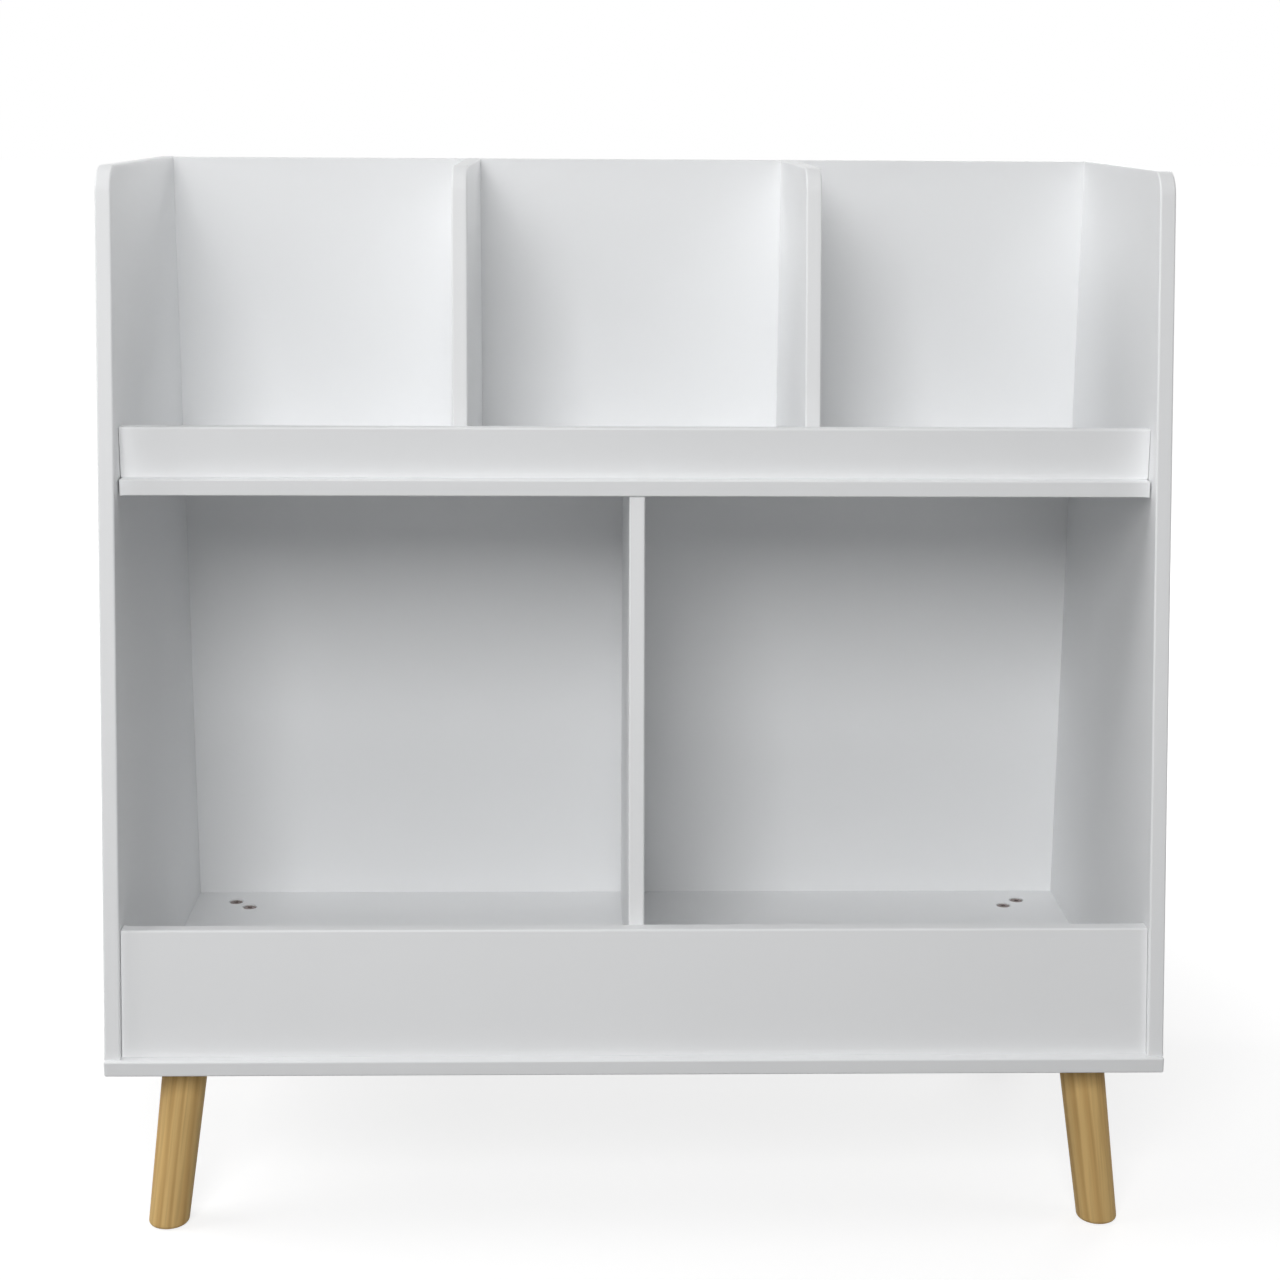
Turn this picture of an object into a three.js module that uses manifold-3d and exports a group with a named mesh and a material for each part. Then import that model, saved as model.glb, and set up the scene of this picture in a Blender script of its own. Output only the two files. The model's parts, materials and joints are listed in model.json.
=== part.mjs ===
// Children's book and toy case: five open bays of painted board on four splayed wooden legs.
// Millimetres, +Z up. The floor is Z = 0, the front faces -Y and X = 0 is the middle of the width.
import * as THREE from 'three';
import { mergeVertices } from 'three/addons/utils/BufferGeometryUtils.js';
import Module from 'manifold-3d';

const wasm = await Module();
wasm.setup();

// Overall sizes
const WIDTH = 800;
const BASE_DEPTH = 400;
const SIDE_HEIGHT = 656;
const LEG_HEIGHT = 132;
const BOARD = 12;

// Side panels: their front edge leans back from the foot to a rounded top corner
const SIDE_FOOT_SETBACK = 4;
const SIDE_TOP_DEPTH = 286;
const CORNER_RADIUS = 22;

// Back panel, held in a groove of each side panel
const BACK_THICKNESS = 5;
const BACK_INSET = 7;
const GROOVE_DEPTH = 6;

// Middle shelf with a low upright lip, and the taller lower lip that leans with the side panels
const SHELF_TOP = 427;
const SHELF_SETBACK = 14;
const SHELF_END_GAP = 0.8;
const UPPER_LIP_HEIGHT = 38;
const UPPER_LIP_SETBACK = 12;
const LOWER_LIP_HEIGHT = 95;
const LOWER_LIP_SETBACK = 5;

// Dividers: two above the shelf, one below it
const MIDDLE_BAY_WIDTH = 256;
const DIVIDER_GAP = 0.5;

// Legs: turned, tapered to the foot and splayed outwards
const LEG_TOP_DIAMETER = 35;
const LEG_FOOT_DIAMETER = 31;
const LEG_FOOT_EASE = 3;
const LEG_SPLAY = 16;
const LEG_SIDE_INSET = 55;
const LEG_END_INSET = 44;

// Two flat-headed bolts hold each leg, reaching through threaded inserts let into its top
const INSERT_DIAMETER = 8.5;
const INSERT_LENGTH = 11;
const BOLT = { diameter: 6, headDiameter: 11, headDepth: 3, length: BOARD + INSERT_LENGTH };
const BOLT_RIM_DISTANCE = 7.5;

// Countersunk wood screws
const SCREW = { diameter: 4, headDiameter: 8, headDepth: 3, length: 38 };
const SCREW_END_INSET = 45;

// Cam fittings that draw the shelf to the side panels
const CAM_DIAMETER = 12;
const CAM_DEPTH = 9;
const CAM_EDGE_DISTANCE = 24;
const CAM_END_INSET = 50;
const CAM_BOLT_DIAMETER = 5;
const CAM_BOLT_NECK_DIAMETER = 3.4;
const CAM_BOLT_HEAD_DIAMETER = 5.6;
const CAM_BOLT_HEAD_LENGTH = 3;
const CAM_BOLT_REACH = 2;

// Beech dowels
const DOWEL_DIAMETER = 6;
const DOWEL_LENGTH = 26;
const LOWER_LIP_DOWEL_INSET = 24;

// Fits: room round a fastener in its hole, between boards that slide together, and depth of hold
const CLEARANCE = 0.3;
const FIT_GAP = 0.3;
const GRIP = 8;

// How finely round shapes are drawn, and how far a cut runs past a face
const HOLE_SIDES = 12;
const LEG_SIDES = 28;
const ARC_STEPS = 8;
const EASE_STEPS = 4;
const CUT_OVERRUN = 1;
const MERGE_DISTANCE = 1e-4;

// Places that follow from the sizes above
const BASE_TOP = LEG_HEIGHT + BOARD;
const CASE_TOP = BASE_TOP + SIDE_HEIGHT;
const SHELF_FACE = BASE_TOP + SHELF_TOP;
const SHELF_UNDER = SHELF_FACE - BOARD;
const INNER_X = WIDTH / 2 - BOARD;
const SHELF_END_X = INNER_X - SHELF_END_GAP;
const REAR_Y = BASE_DEPTH / 2;
const BASE_FRONT_Y = -BASE_DEPTH / 2;
const BACK_FACE_Y = REAR_Y - BACK_INSET - BACK_THICKNESS;
const SIDE_FOOT_Y = BASE_FRONT_Y + SIDE_FOOT_SETBACK;
const SIDE_TOP_Y = REAR_Y - SIDE_TOP_DEPTH;
const LEAN = (SIDE_TOP_Y - SIDE_FOOT_Y) / SIDE_HEIGHT;
const LOWER_LIP_BACK = LOWER_LIP_SETBACK + BOARD * Math.hypot(1, LEAN);
const CENTRE_DIVIDER_SETBACK = LOWER_LIP_BACK + DIVIDER_GAP;
const SHELF_FRONT_Y = sideFrontAt(SHELF_FACE - BOARD / 2) + SHELF_SETBACK;
const UPPER_LIP_Y = SHELF_FRONT_Y + UPPER_LIP_SETBACK;
const UPPER_DIVIDER_FOOT_Y = UPPER_LIP_Y + BOARD + DIVIDER_GAP;
const UPPER_DIVIDER_X = (MIDDLE_BAY_WIDTH + BOARD) / 2;

const UP = new THREE.Vector3(0, 0, 1);
const DOWN = new THREE.Vector3(0, 0, -1);

// Depth of the side panels' leaning front edge at a height above the floor
function sideFrontAt(z) {
  return SIDE_FOOT_Y + LEAN * (z - BASE_TOP);
}

// A solid for cutting: shared vertices, and none of the triangles that collapse on a turned axis
function toSolid(geometry) {
  const bare = geometry.clone();
  bare.deleteAttribute('normal');
  bare.deleteAttribute('uv');
  const merged = mergeVertices(bare, MERGE_DISTANCE);
  const index = merged.index.array;
  const triangles = [];
  for (let i = 0; i < index.length; i += 3) {
    const [a, b, c] = index.subarray(i, i + 3);
    if (a !== b && b !== c && c !== a) {
      triangles.push(a, b, c);
    }
  }
  return new wasm.Manifold(new wasm.Mesh({
    numProp: 3,
    vertProperties: new Float32Array(merged.attributes.position.array),
    triVerts: new Uint32Array(triangles),
  }));
}

function toGeometry(solid) {
  const mesh = solid.getMesh();
  const geometry = new THREE.BufferGeometry();
  geometry.setAttribute('position', new THREE.BufferAttribute(new Float32Array(mesh.vertProperties), 3));
  geometry.setIndex(new THREE.BufferAttribute(new Uint32Array(mesh.triVerts), 1));
  geometry.computeVertexNormals();
  return geometry;
}

// A box between two corners, each given as [x, y, z]; faces at the same place meet exactly
function block(low, high) {
  const geometry = new THREE.BoxGeometry(1, 1, 1);
  const corners = geometry.attributes.position;
  for (let i = 0; i < corners.count; i += 1) {
    const corner = new THREE.Vector3().fromBufferAttribute(corners, i);
    const place = corner.toArray().map((side, axis) => (side < 0 ? low[axis] : high[axis]));
    corners.setXYZ(i, ...place);
  }
  return geometry;
}

// A (y, z) outline carried along X from one place to another
function slab(outline, fromX, toX) {
  const geometry = new THREE.ExtrudeGeometry(outline, {
    depth: 1,
    bevelEnabled: false,
    curveSegments: ARC_STEPS,
  });
  const corners = geometry.attributes.position;
  for (let i = 0; i < corners.count; i += 1) {
    const x = corners.getZ(i) > 0 ? toX : fromX;
    corners.setXYZ(i, x, corners.getX(i), corners.getY(i));
  }
  return geometry;
}

function outlineThrough(points) {
  return new THREE.Shape(points.map(([y, z]) => new THREE.Vector2(y, z)));
}

// Upright board seen from the side: square at the back, leaning at the front, top front corner rounded
function leaningOutline(footY, topY, rearY, footZ, topZ) {
  const corner = new THREE.Vector2(topY, topZ);
  const toFoot = new THREE.Vector2(footY, footZ).sub(corner).normalize();
  const toRear = new THREE.Vector2(1, 0);
  const halfAngle = Math.acos(toFoot.dot(toRear)) / 2;
  const centre = toFoot.clone().add(toRear).setLength(CORNER_RADIUS / Math.sin(halfAngle)).add(corner);
  const tangent = toFoot.clone().multiplyScalar(CORNER_RADIUS / Math.tan(halfAngle)).add(corner);
  const startAngle = tangent.clone().sub(centre).angle();
  const outline = new THREE.Shape();
  outline.moveTo(rearY, footZ);
  outline.lineTo(footY, footZ);
  outline.lineTo(tangent.x, tangent.y);
  outline.absarc(centre.x, centre.y, CORNER_RADIUS, startAngle, Math.PI / 2, true);
  outline.lineTo(rearY, topZ);
  outline.closePath();
  return outline;
}

// A (radius, length) profile turned about an axis that starts at a place and runs along a direction
function turned(profile, place, direction, sides = HOLE_SIDES) {
  const points = profile.map(([radius, along]) => new THREE.Vector2(radius, along));
  const geometry = new THREE.LatheGeometry(points, sides).rotateX(Math.PI / 2);
  geometry.applyQuaternion(new THREE.Quaternion().setFromUnitVectors(UP, direction));
  return geometry.translate(place.x, place.y, place.z);
}

function rodProfile(diameter, from, to) {
  return [[0, from], [diameter / 2, from], [diameter / 2, to], [0, to]];
}

// Flat-headed fastener: a head flush with its seat, a cone under it and a plain shank
function flatHeadProfile({ diameter, headDiameter, headDepth, length }, clearance) {
  const shank = diameter / 2 + clearance;
  return [
    [headDiameter / 2 + clearance, 0],
    [shank, headDepth],
    [shank, length + clearance],
    [0, length + clearance],
  ];
}

// Finishes
function finish(color, roughness, metalness) {
  return new THREE.MeshStandardMaterial({ color, roughness, metalness });
}
const paint = () => finish(0xdddfe1, 0.42, 0);
const legWood = () => finish(0xc9a467, 0.5, 0);
const bronzedSteel = () => finish(0x5b4c44, 0.45, 0.9);
const brass = () => finish(0xb08d4a, 0.4, 1);
const zinc = () => finish(0xb4b7ba, 0.38, 1);
const beech = () => finish(0xd6b58a, 0.7, 0);

// Wooden pieces are drilled at the end, by every hole or by the holes that name them
const wooden = [];
const fasteners = [];
const holes = [];

function addWooden(name, geometry, material) {
  wooden.push({ name, geometry, material });
}

function addFastener(name, geometry, material) {
  fasteners.push({ name, geometry, material });
}

function addHole(geometry, onlyIn = null) {
  holes.push({ solid: toSolid(geometry), onlyIn });
}

// Boards
function addSidePanels() {
  const outline = leaningOutline(SIDE_FOOT_Y, SIDE_TOP_Y, REAR_Y, BASE_TOP, CASE_TOP);
  addWooden('left_side_panel', slab(outline, -WIDTH / 2, -INNER_X), paint());
  addWooden('right_side_panel', slab(outline, INNER_X, WIDTH / 2), paint());
}

// The back panel stands on the bottom board and stops a fit gap short of the grooves' floors
function addBackPanel() {
  const grooveX = INNER_X + GROOVE_DEPTH;
  const edgeX = grooveX - FIT_GAP;
  const rearFaceY = BACK_FACE_Y + BACK_THICKNESS;
  addWooden('back_panel', block([-edgeX, BACK_FACE_Y, BASE_TOP], [edgeX, rearFaceY, CASE_TOP]), paint());
  const mouthX = INNER_X - CUT_OVERRUN;
  const grooveFront = [BACK_FACE_Y - FIT_GAP, BASE_TOP - CUT_OVERRUN];
  const grooveRear = [rearFaceY + FIT_GAP, CASE_TOP + CUT_OVERRUN];
  addHole(block([-grooveX, ...grooveFront], [-mouthX, ...grooveRear]), 'left_side_panel');
  addHole(block([mouthX, ...grooveFront], [grooveX, ...grooveRear]), 'right_side_panel');
}

function addBottomBoardAndShelf() {
  const base = block([-WIDTH / 2, BASE_FRONT_Y, LEG_HEIGHT], [WIDTH / 2, REAR_Y, BASE_TOP]);
  addWooden('bottom_board', base, paint());
  const shelf = block([-SHELF_END_X, SHELF_FRONT_Y, SHELF_UNDER], [SHELF_END_X, BACK_FACE_Y, SHELF_FACE]);
  addWooden('middle_shelf', shelf, paint());
}

function addLips() {
  const endX = INNER_X - FIT_GAP;
  const upright = block(
    [-endX, UPPER_LIP_Y, SHELF_FACE],
    [endX, UPPER_LIP_Y + BOARD, SHELF_FACE + UPPER_LIP_HEIGHT],
  );
  addWooden('upper_front_lip', upright, paint());
  const lipTop = BASE_TOP + LOWER_LIP_HEIGHT;
  const leaning = outlineThrough([
    [sideFrontAt(BASE_TOP) + LOWER_LIP_SETBACK, BASE_TOP],
    [sideFrontAt(BASE_TOP) + LOWER_LIP_BACK, BASE_TOP],
    [sideFrontAt(lipTop) + LOWER_LIP_BACK, lipTop],
    [sideFrontAt(lipTop) + LOWER_LIP_SETBACK, lipTop],
  ]);
  addWooden('lower_front_lip', slab(leaning, -endX, endX), paint());
}

function addDividers() {
  const half = BOARD / 2;
  const topY = UPPER_DIVIDER_FOOT_Y + LEAN * (CASE_TOP - SHELF_FACE);
  const upper = leaningOutline(UPPER_DIVIDER_FOOT_Y, topY, BACK_FACE_Y, SHELF_FACE, CASE_TOP);
  addWooden('upper_left_divider', slab(upper, -UPPER_DIVIDER_X - half, -UPPER_DIVIDER_X + half), paint());
  addWooden('upper_right_divider', slab(upper, UPPER_DIVIDER_X - half, UPPER_DIVIDER_X + half), paint());
  const lower = outlineThrough([
    [sideFrontAt(BASE_TOP) + CENTRE_DIVIDER_SETBACK, BASE_TOP],
    [BACK_FACE_Y, BASE_TOP],
    [BACK_FACE_Y, SHELF_UNDER],
    [sideFrontAt(SHELF_UNDER) + CENTRE_DIVIDER_SETBACK, SHELF_UNDER],
  ]);
  addWooden('centre_divider', slab(lower, -half, half), paint());
}

// Fasteners, each with the hole that it sits in
function addFlatHead(name, sizes, place, direction, material) {
  const made = [[0, 0], ...flatHeadProfile(sizes, 0)];
  addFastener(name, turned(made, place, direction), material);
  const mouth = [[0, -CUT_OVERRUN], [sizes.headDiameter / 2 + CLEARANCE, -CUT_OVERRUN]];
  addHole(turned([...mouth, ...flatHeadProfile(sizes, CLEARANCE)], place, direction));
}

function addDowel(name, face, direction) {
  const place = face.clone().addScaledVector(direction, -GRIP);
  addFastener(name, turned(rodProfile(DOWEL_DIAMETER, 0, DOWEL_LENGTH), place, direction), beech());
  const bore = DOWEL_DIAMETER + 2 * CLEARANCE;
  addHole(turned(rodProfile(bore, -CLEARANCE, DOWEL_LENGTH + CLEARANCE), place, direction));
}

// Threaded insert: a brass sleeve flush with the leg's top
function addInsert(name, place, leg) {
  const bore = BOLT.diameter / 2 + CLEARANCE;
  const outside = INSERT_DIAMETER / 2;
  const ring = [[outside, 0], [outside, INSERT_LENGTH], [bore, INSERT_LENGTH], [bore, 0], [outside, 0]];
  addFastener(name, turned(ring, place, DOWN), brass());
  const pocket = rodProfile(INSERT_DIAMETER + 2 * CLEARANCE, -CUT_OVERRUN, INSERT_LENGTH + CLEARANCE);
  addHole(turned(pocket, place, DOWN), leg);
}

// A leg with its top at the origin: turned upright, then sheared so that top and foot stay level
function legGeometry(sideX, endY) {
  const foot = LEG_FOOT_DIAMETER / 2;
  const profile = [[0, -LEG_HEIGHT]];
  for (let step = 0; step <= EASE_STEPS; step += 1) {
    const angle = (step / EASE_STEPS) * (Math.PI / 2);
    const radius = foot - LEG_FOOT_EASE * (1 - Math.sin(angle));
    profile.push([radius, -LEG_HEIGHT + LEG_FOOT_EASE * (1 - Math.cos(angle))]);
  }
  profile.push([LEG_TOP_DIAMETER / 2, 0], [0, 0]);
  const geometry = turned(profile, new THREE.Vector3(), UP, LEG_SIDES);
  const outwards = -LEG_SPLAY / LEG_HEIGHT;
  const splay = new THREE.Matrix4().makeShear(0, 0, 0, 0, sideX * outwards, endY * outwards);
  return geometry.applyMatrix4(splay);
}

// The two bolts of a leg lie on the diagonal that points to the case's corner
function addLeg(name, sideX, endY) {
  const centre = new THREE.Vector3(
    sideX * (WIDTH / 2 - LEG_SIDE_INSET),
    endY * (BASE_DEPTH / 2 - LEG_END_INSET),
    LEG_HEIGHT,
  );
  addWooden(name, legGeometry(sideX, endY).translate(centre.x, centre.y, centre.z), legWood());
  const reach = LEG_TOP_DIAMETER / 2 - BOLT_RIM_DISTANCE;
  const towardsCorner = new THREE.Vector3(sideX, endY, 0).setLength(reach);
  for (const [label, sign] of [['outer', 1], ['inner', -1]]) {
    const axis = centre.clone().addScaledVector(towardsCorner, sign);
    const seat = axis.clone().setZ(BASE_TOP);
    addFlatHead(`${name}_${label}_bolt`, BOLT, seat, DOWN, bronzedSteel());
    addInsert(`${name}_${label}_insert`, axis, name);
  }
}

function addLegs() {
  for (const [end, endY] of [['front', -1], ['rear', 1]]) {
    for (const [side, sideX] of [['left', -1], ['right', 1]]) {
      addLeg(`${end}_${side}_leg`, sideX, endY);
    }
  }
}

// Screws driven upwards through the bottom board or the shelf, two for each upright board
function addScrews() {
  const sideX = WIDTH / 2 - BOARD / 2;
  const rows = [
    ['left_side_panel', -sideX, SIDE_FOOT_Y, REAR_Y, LEG_HEIGHT],
    ['right_side_panel', sideX, SIDE_FOOT_Y, REAR_Y, LEG_HEIGHT],
    ['centre_divider', 0, sideFrontAt(BASE_TOP) + CENTRE_DIVIDER_SETBACK, BACK_FACE_Y, LEG_HEIGHT],
    ['upper_left_divider', -UPPER_DIVIDER_X, UPPER_DIVIDER_FOOT_Y, BACK_FACE_Y, SHELF_UNDER],
    ['upper_right_divider', UPPER_DIVIDER_X, UPPER_DIVIDER_FOOT_Y, BACK_FACE_Y, SHELF_UNDER],
  ];
  for (const [board, x, frontY, rearY, undersideZ] of rows) {
    const front = new THREE.Vector3(x, frontY + SCREW_END_INSET, undersideZ);
    const rear = new THREE.Vector3(x, rearY - SCREW_END_INSET, undersideZ);
    addFlatHead(`${board}_front_screw`, SCREW, front, UP, zinc());
    addFlatHead(`${board}_rear_screw`, SCREW, rear, UP, zinc());
  }
}

// Cam fitting: a bolt in the side panel, caught by a cam let into the shelf's underside
function addCam(name, sideX, y) {
  const inwards = new THREE.Vector3(-sideX, 0, 0);
  const start = new THREE.Vector3(sideX * (INNER_X + GRIP), y, SHELF_UNDER + BOARD / 2);
  const length = GRIP + SHELF_END_GAP + CAM_EDGE_DISTANCE + CAM_BOLT_REACH;
  const headStart = length - CAM_BOLT_HEAD_LENGTH;
  const neckStart = headStart - CAM_BOLT_REACH - CAM_DIAMETER / 2;
  const boltProfile = [
    [0, 0],
    [CAM_BOLT_DIAMETER / 2, 0],
    [CAM_BOLT_DIAMETER / 2, neckStart],
    [CAM_BOLT_NECK_DIAMETER / 2, neckStart],
    [CAM_BOLT_NECK_DIAMETER / 2, headStart],
    [CAM_BOLT_HEAD_DIAMETER / 2, headStart],
    [CAM_BOLT_HEAD_DIAMETER / 2, length],
    [0, length],
  ];
  addFastener(`${name}_cam_bolt`, turned(boltProfile, start, inwards), zinc());
  const boltBore = CAM_BOLT_HEAD_DIAMETER + 2 * CLEARANCE;
  const boltHole = turned(rodProfile(boltBore, -CLEARANCE, length + CLEARANCE), start, inwards);
  addHole(boltHole);
  const centre = new THREE.Vector3(sideX * (SHELF_END_X - CAM_EDGE_DISTANCE), y, SHELF_UNDER);
  const disc = toSolid(turned(rodProfile(CAM_DIAMETER, 0, CAM_DEPTH), centre, UP));
  addFastener(`${name}_cam`, toGeometry(disc.subtract(toSolid(boltHole))), zinc());
  const camBore = CAM_DIAMETER + 2 * CLEARANCE;
  addHole(turned(rodProfile(camBore, -CUT_OVERRUN, CAM_DEPTH + CLEARANCE), centre, UP));
}

// Fittings between the side panels and the ends of the shelf and lips
function addEndFittings() {
  const shelfMidY = (SHELF_FRONT_Y + BACK_FACE_Y) / 2;
  const shelfMidZ = SHELF_UNDER + BOARD / 2;
  const upperLipMidY = UPPER_LIP_Y + BOARD / 2;
  const upperLipMidZ = SHELF_FACE + UPPER_LIP_HEIGHT / 2;
  const lowerLipLevels = {
    lower: BASE_TOP + LOWER_LIP_DOWEL_INSET,
    upper: BASE_TOP + LOWER_LIP_HEIGHT - LOWER_LIP_DOWEL_INSET,
  };
  for (const [side, sideX] of [['left', -1], ['right', 1]]) {
    const inwards = new THREE.Vector3(-sideX, 0, 0);
    const faceX = sideX * INNER_X;
    addCam(`shelf_${side}_front`, sideX, SHELF_FRONT_Y + CAM_END_INSET);
    addCam(`shelf_${side}_rear`, sideX, BACK_FACE_Y - CAM_END_INSET);
    addDowel(`shelf_${side}_dowel`, new THREE.Vector3(faceX, shelfMidY, shelfMidZ), inwards);
    addDowel(`upper_lip_${side}_dowel`, new THREE.Vector3(faceX, upperLipMidY, upperLipMidZ), inwards);
    for (const [level, z] of Object.entries(lowerLipLevels)) {
      const y = sideFrontAt(z) + (LOWER_LIP_SETBACK + LOWER_LIP_BACK) / 2;
      addDowel(`lower_lip_${side}_${level}_dowel`, new THREE.Vector3(faceX, y, z), inwards);
    }
  }
}

// Dowels that steady the centre divider under the shelf
function addDividerDowels() {
  const frontY = sideFrontAt(SHELF_UNDER) + CENTRE_DIVIDER_SETBACK;
  const front = new THREE.Vector3(0, frontY + SCREW_END_INSET, SHELF_UNDER);
  const rear = new THREE.Vector3(0, BACK_FACE_Y - SCREW_END_INSET, SHELF_UNDER);
  addDowel('centre_divider_front_dowel', front, DOWN);
  addDowel('centre_divider_rear_dowel', rear, DOWN);
}

function drilled({ name, geometry }) {
  let solid = toSolid(geometry);
  for (const hole of holes) {
    if (hole.onlyIn === null || hole.onlyIn === name) {
      solid = solid.subtract(hole.solid);
    }
  }
  return toGeometry(solid);
}

function addMesh(group, name, geometry, material) {
  const mesh = new THREE.Mesh(geometry, material);
  mesh.name = name;
  group.add(mesh);
}

addSidePanels();
addBackPanel();
addBottomBoardAndShelf();
addLips();
addDividers();
addLegs();
addScrews();
addEndFittings();
addDividerDowels();

const bookcase = new THREE.Group();
bookcase.name = 'book_and_toy_case';
for (const piece of wooden) {
  addMesh(bookcase, piece.name, drilled(piece), piece.material);
}
for (const piece of fasteners) {
  addMesh(bookcase, piece.name, piece.geometry, piece.material);
}

export default bookcase;
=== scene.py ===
# %% [markdown]
# # A white children's bookcase with open bins
# The case is made of satin white boards on four short splayed wooden legs: three bays above a shelf, and
# two deep bins below it. The construction comes in as a fixed frame of plain, sharp-edged solids. This
# lesson gives it its looks: boards with eased edges, turned legs with grain, and real screw heads.

# %% Load the frame
import json
from math import pi, radians

import bpy
import numpy as np
from mathutils import Matrix, Vector
from mathutils.geometry import tessellate_polygon


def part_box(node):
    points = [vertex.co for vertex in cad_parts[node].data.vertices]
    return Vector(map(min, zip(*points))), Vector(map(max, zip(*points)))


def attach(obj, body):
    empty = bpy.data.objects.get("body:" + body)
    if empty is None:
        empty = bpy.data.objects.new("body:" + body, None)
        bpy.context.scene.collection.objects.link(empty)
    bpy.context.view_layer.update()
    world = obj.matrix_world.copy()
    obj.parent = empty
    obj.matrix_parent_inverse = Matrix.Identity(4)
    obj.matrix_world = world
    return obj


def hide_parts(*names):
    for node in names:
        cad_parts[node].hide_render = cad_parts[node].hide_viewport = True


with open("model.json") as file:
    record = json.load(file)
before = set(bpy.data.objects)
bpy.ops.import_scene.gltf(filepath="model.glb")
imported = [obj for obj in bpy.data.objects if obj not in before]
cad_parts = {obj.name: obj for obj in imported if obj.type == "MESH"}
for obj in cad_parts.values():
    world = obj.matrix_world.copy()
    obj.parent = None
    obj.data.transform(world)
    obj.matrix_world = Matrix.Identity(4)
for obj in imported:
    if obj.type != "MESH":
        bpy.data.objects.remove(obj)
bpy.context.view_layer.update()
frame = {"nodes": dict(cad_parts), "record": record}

MM = 0.001

# %% [markdown]
# ## Camera
# The picture was taken from in front, a little above the case and a little left of its middle, with a
# short telephoto lens. The place and turn below come from matching the straight edges of the boards. The
# turn is built as a product of three plain rotations, because that keeps each angle a number one can read.

# %% Camera
LENS_MM = 66.5
SENSOR_MM = 36
CAMERA_PLACE = Vector((-41.4, -1865, 851)) * MM
LOOK_DOWN = 12.92
LOOK_RIGHT = 1.44
TILT = 0.35

camera_data = bpy.data.cameras.new("camera")
camera_data.lens = LENS_MM
camera_data.sensor_width = SENSOR_MM
camera = bpy.data.objects.new("camera", camera_data)
bpy.context.scene.collection.objects.link(camera)
camera_turn = (
    Matrix.Rotation(-radians(LOOK_RIGHT), 4, "Z")
    @ Matrix.Rotation(radians(90 - LOOK_DOWN), 4, "X")
    @ Matrix.Rotation(radians(TILT), 4, "Z")
)
camera.matrix_world = Matrix.Translation(CAMERA_PLACE) @ camera_turn
bpy.context.scene.camera = camera
bpy.context.scene.view_settings.view_transform = "Standard"
print("camera at", camera.matrix_world.translation)

# %% [markdown]
# ## Patches
# Every piece is put together from a few patches: a grid of points that bends in two directions, or a flat
# face with an outline. A bevel modifier could round the edges too, but here each corner of each face gets
# its exact normal from the formula, so that wide flat boards shade flat right up to their eased edges.


# %% Grid and flat patches
def grid_patch(points, normals, edge=None):
    """Quads between neighbours of a (rows, columns) grid of points; the last column joins the first.
    Faces are turned to agree with the normals. edge says how far each row belongs to an eased edge."""
    rows, columns = points.shape[:2]
    index = np.arange(rows * columns).reshape(rows, columns)
    beside = np.roll(index, -1, axis=1)
    quads = np.stack([index[:-1], beside[:-1], beside[1:], index[1:]], axis=-1).reshape(-1, 4)
    flat_points = points.reshape(-1, 3)
    flat_normals = normals.reshape(-1, 3)
    corner = flat_points[quads]
    facing = np.cross(corner[:, 2] - corner[:, 0], corner[:, 3] - corner[:, 1])
    if np.sum(facing * flat_normals[quads[:, 0]]) < 0:
        quads = quads[:, ::-1]
    share = np.zeros(rows) if edge is None else np.asarray(edge, float)
    return {"points": flat_points, "normals": flat_normals, "faces": quads.tolist(),
            "edge": np.repeat(share, columns)}


def flat_patch(outline, normal, holes=()):
    """A flat face inside a loop of points, less the loops of its holes; one normal for all its corners."""
    points = np.concatenate([outline, *holes])
    if holes:
        faces = np.array(tessellate_polygon([[Vector(p) for p in loop] for loop in (outline, *holes)]))
    else:
        faces = np.arange(len(outline))[None]
    first = points[faces]
    facing = np.cross(first, np.roll(first, -1, axis=1)).sum(axis=(0, 1))
    if facing @ normal < 0:
        faces = faces[:, ::-1]
    return {"points": points, "normals": np.tile(normal, (len(points), 1)), "faces": faces.tolist(),
            "edge": np.zeros(len(points))}


def grid_normals(points, inside):
    """Normals of a closed grid: the cross product of its two directions, turned away from inside."""
    around = np.roll(points, -1, axis=1) - np.roll(points, 1, axis=1)
    along = np.gradient(points, axis=0)
    normals = np.cross(around, along)
    normals /= np.linalg.norm(normals, axis=-1, keepdims=True)
    away = np.sum(normals * (points - inside), axis=-1, keepdims=True)
    return np.where(away < 0, -normals, normals)


print("patch helpers:", [helper.__name__ for helper in (grid_patch, flat_patch, grid_normals)])

# %% [markdown]
# ## From patches to a piece
# Patches that meet share their border points. Rounding the points and keeping each place once welds them
# into one closed skin, while every face corner keeps the normal of the patch that it came from.

# %% Weld the patches into a piece
WELD_DIGITS = 7


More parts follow.
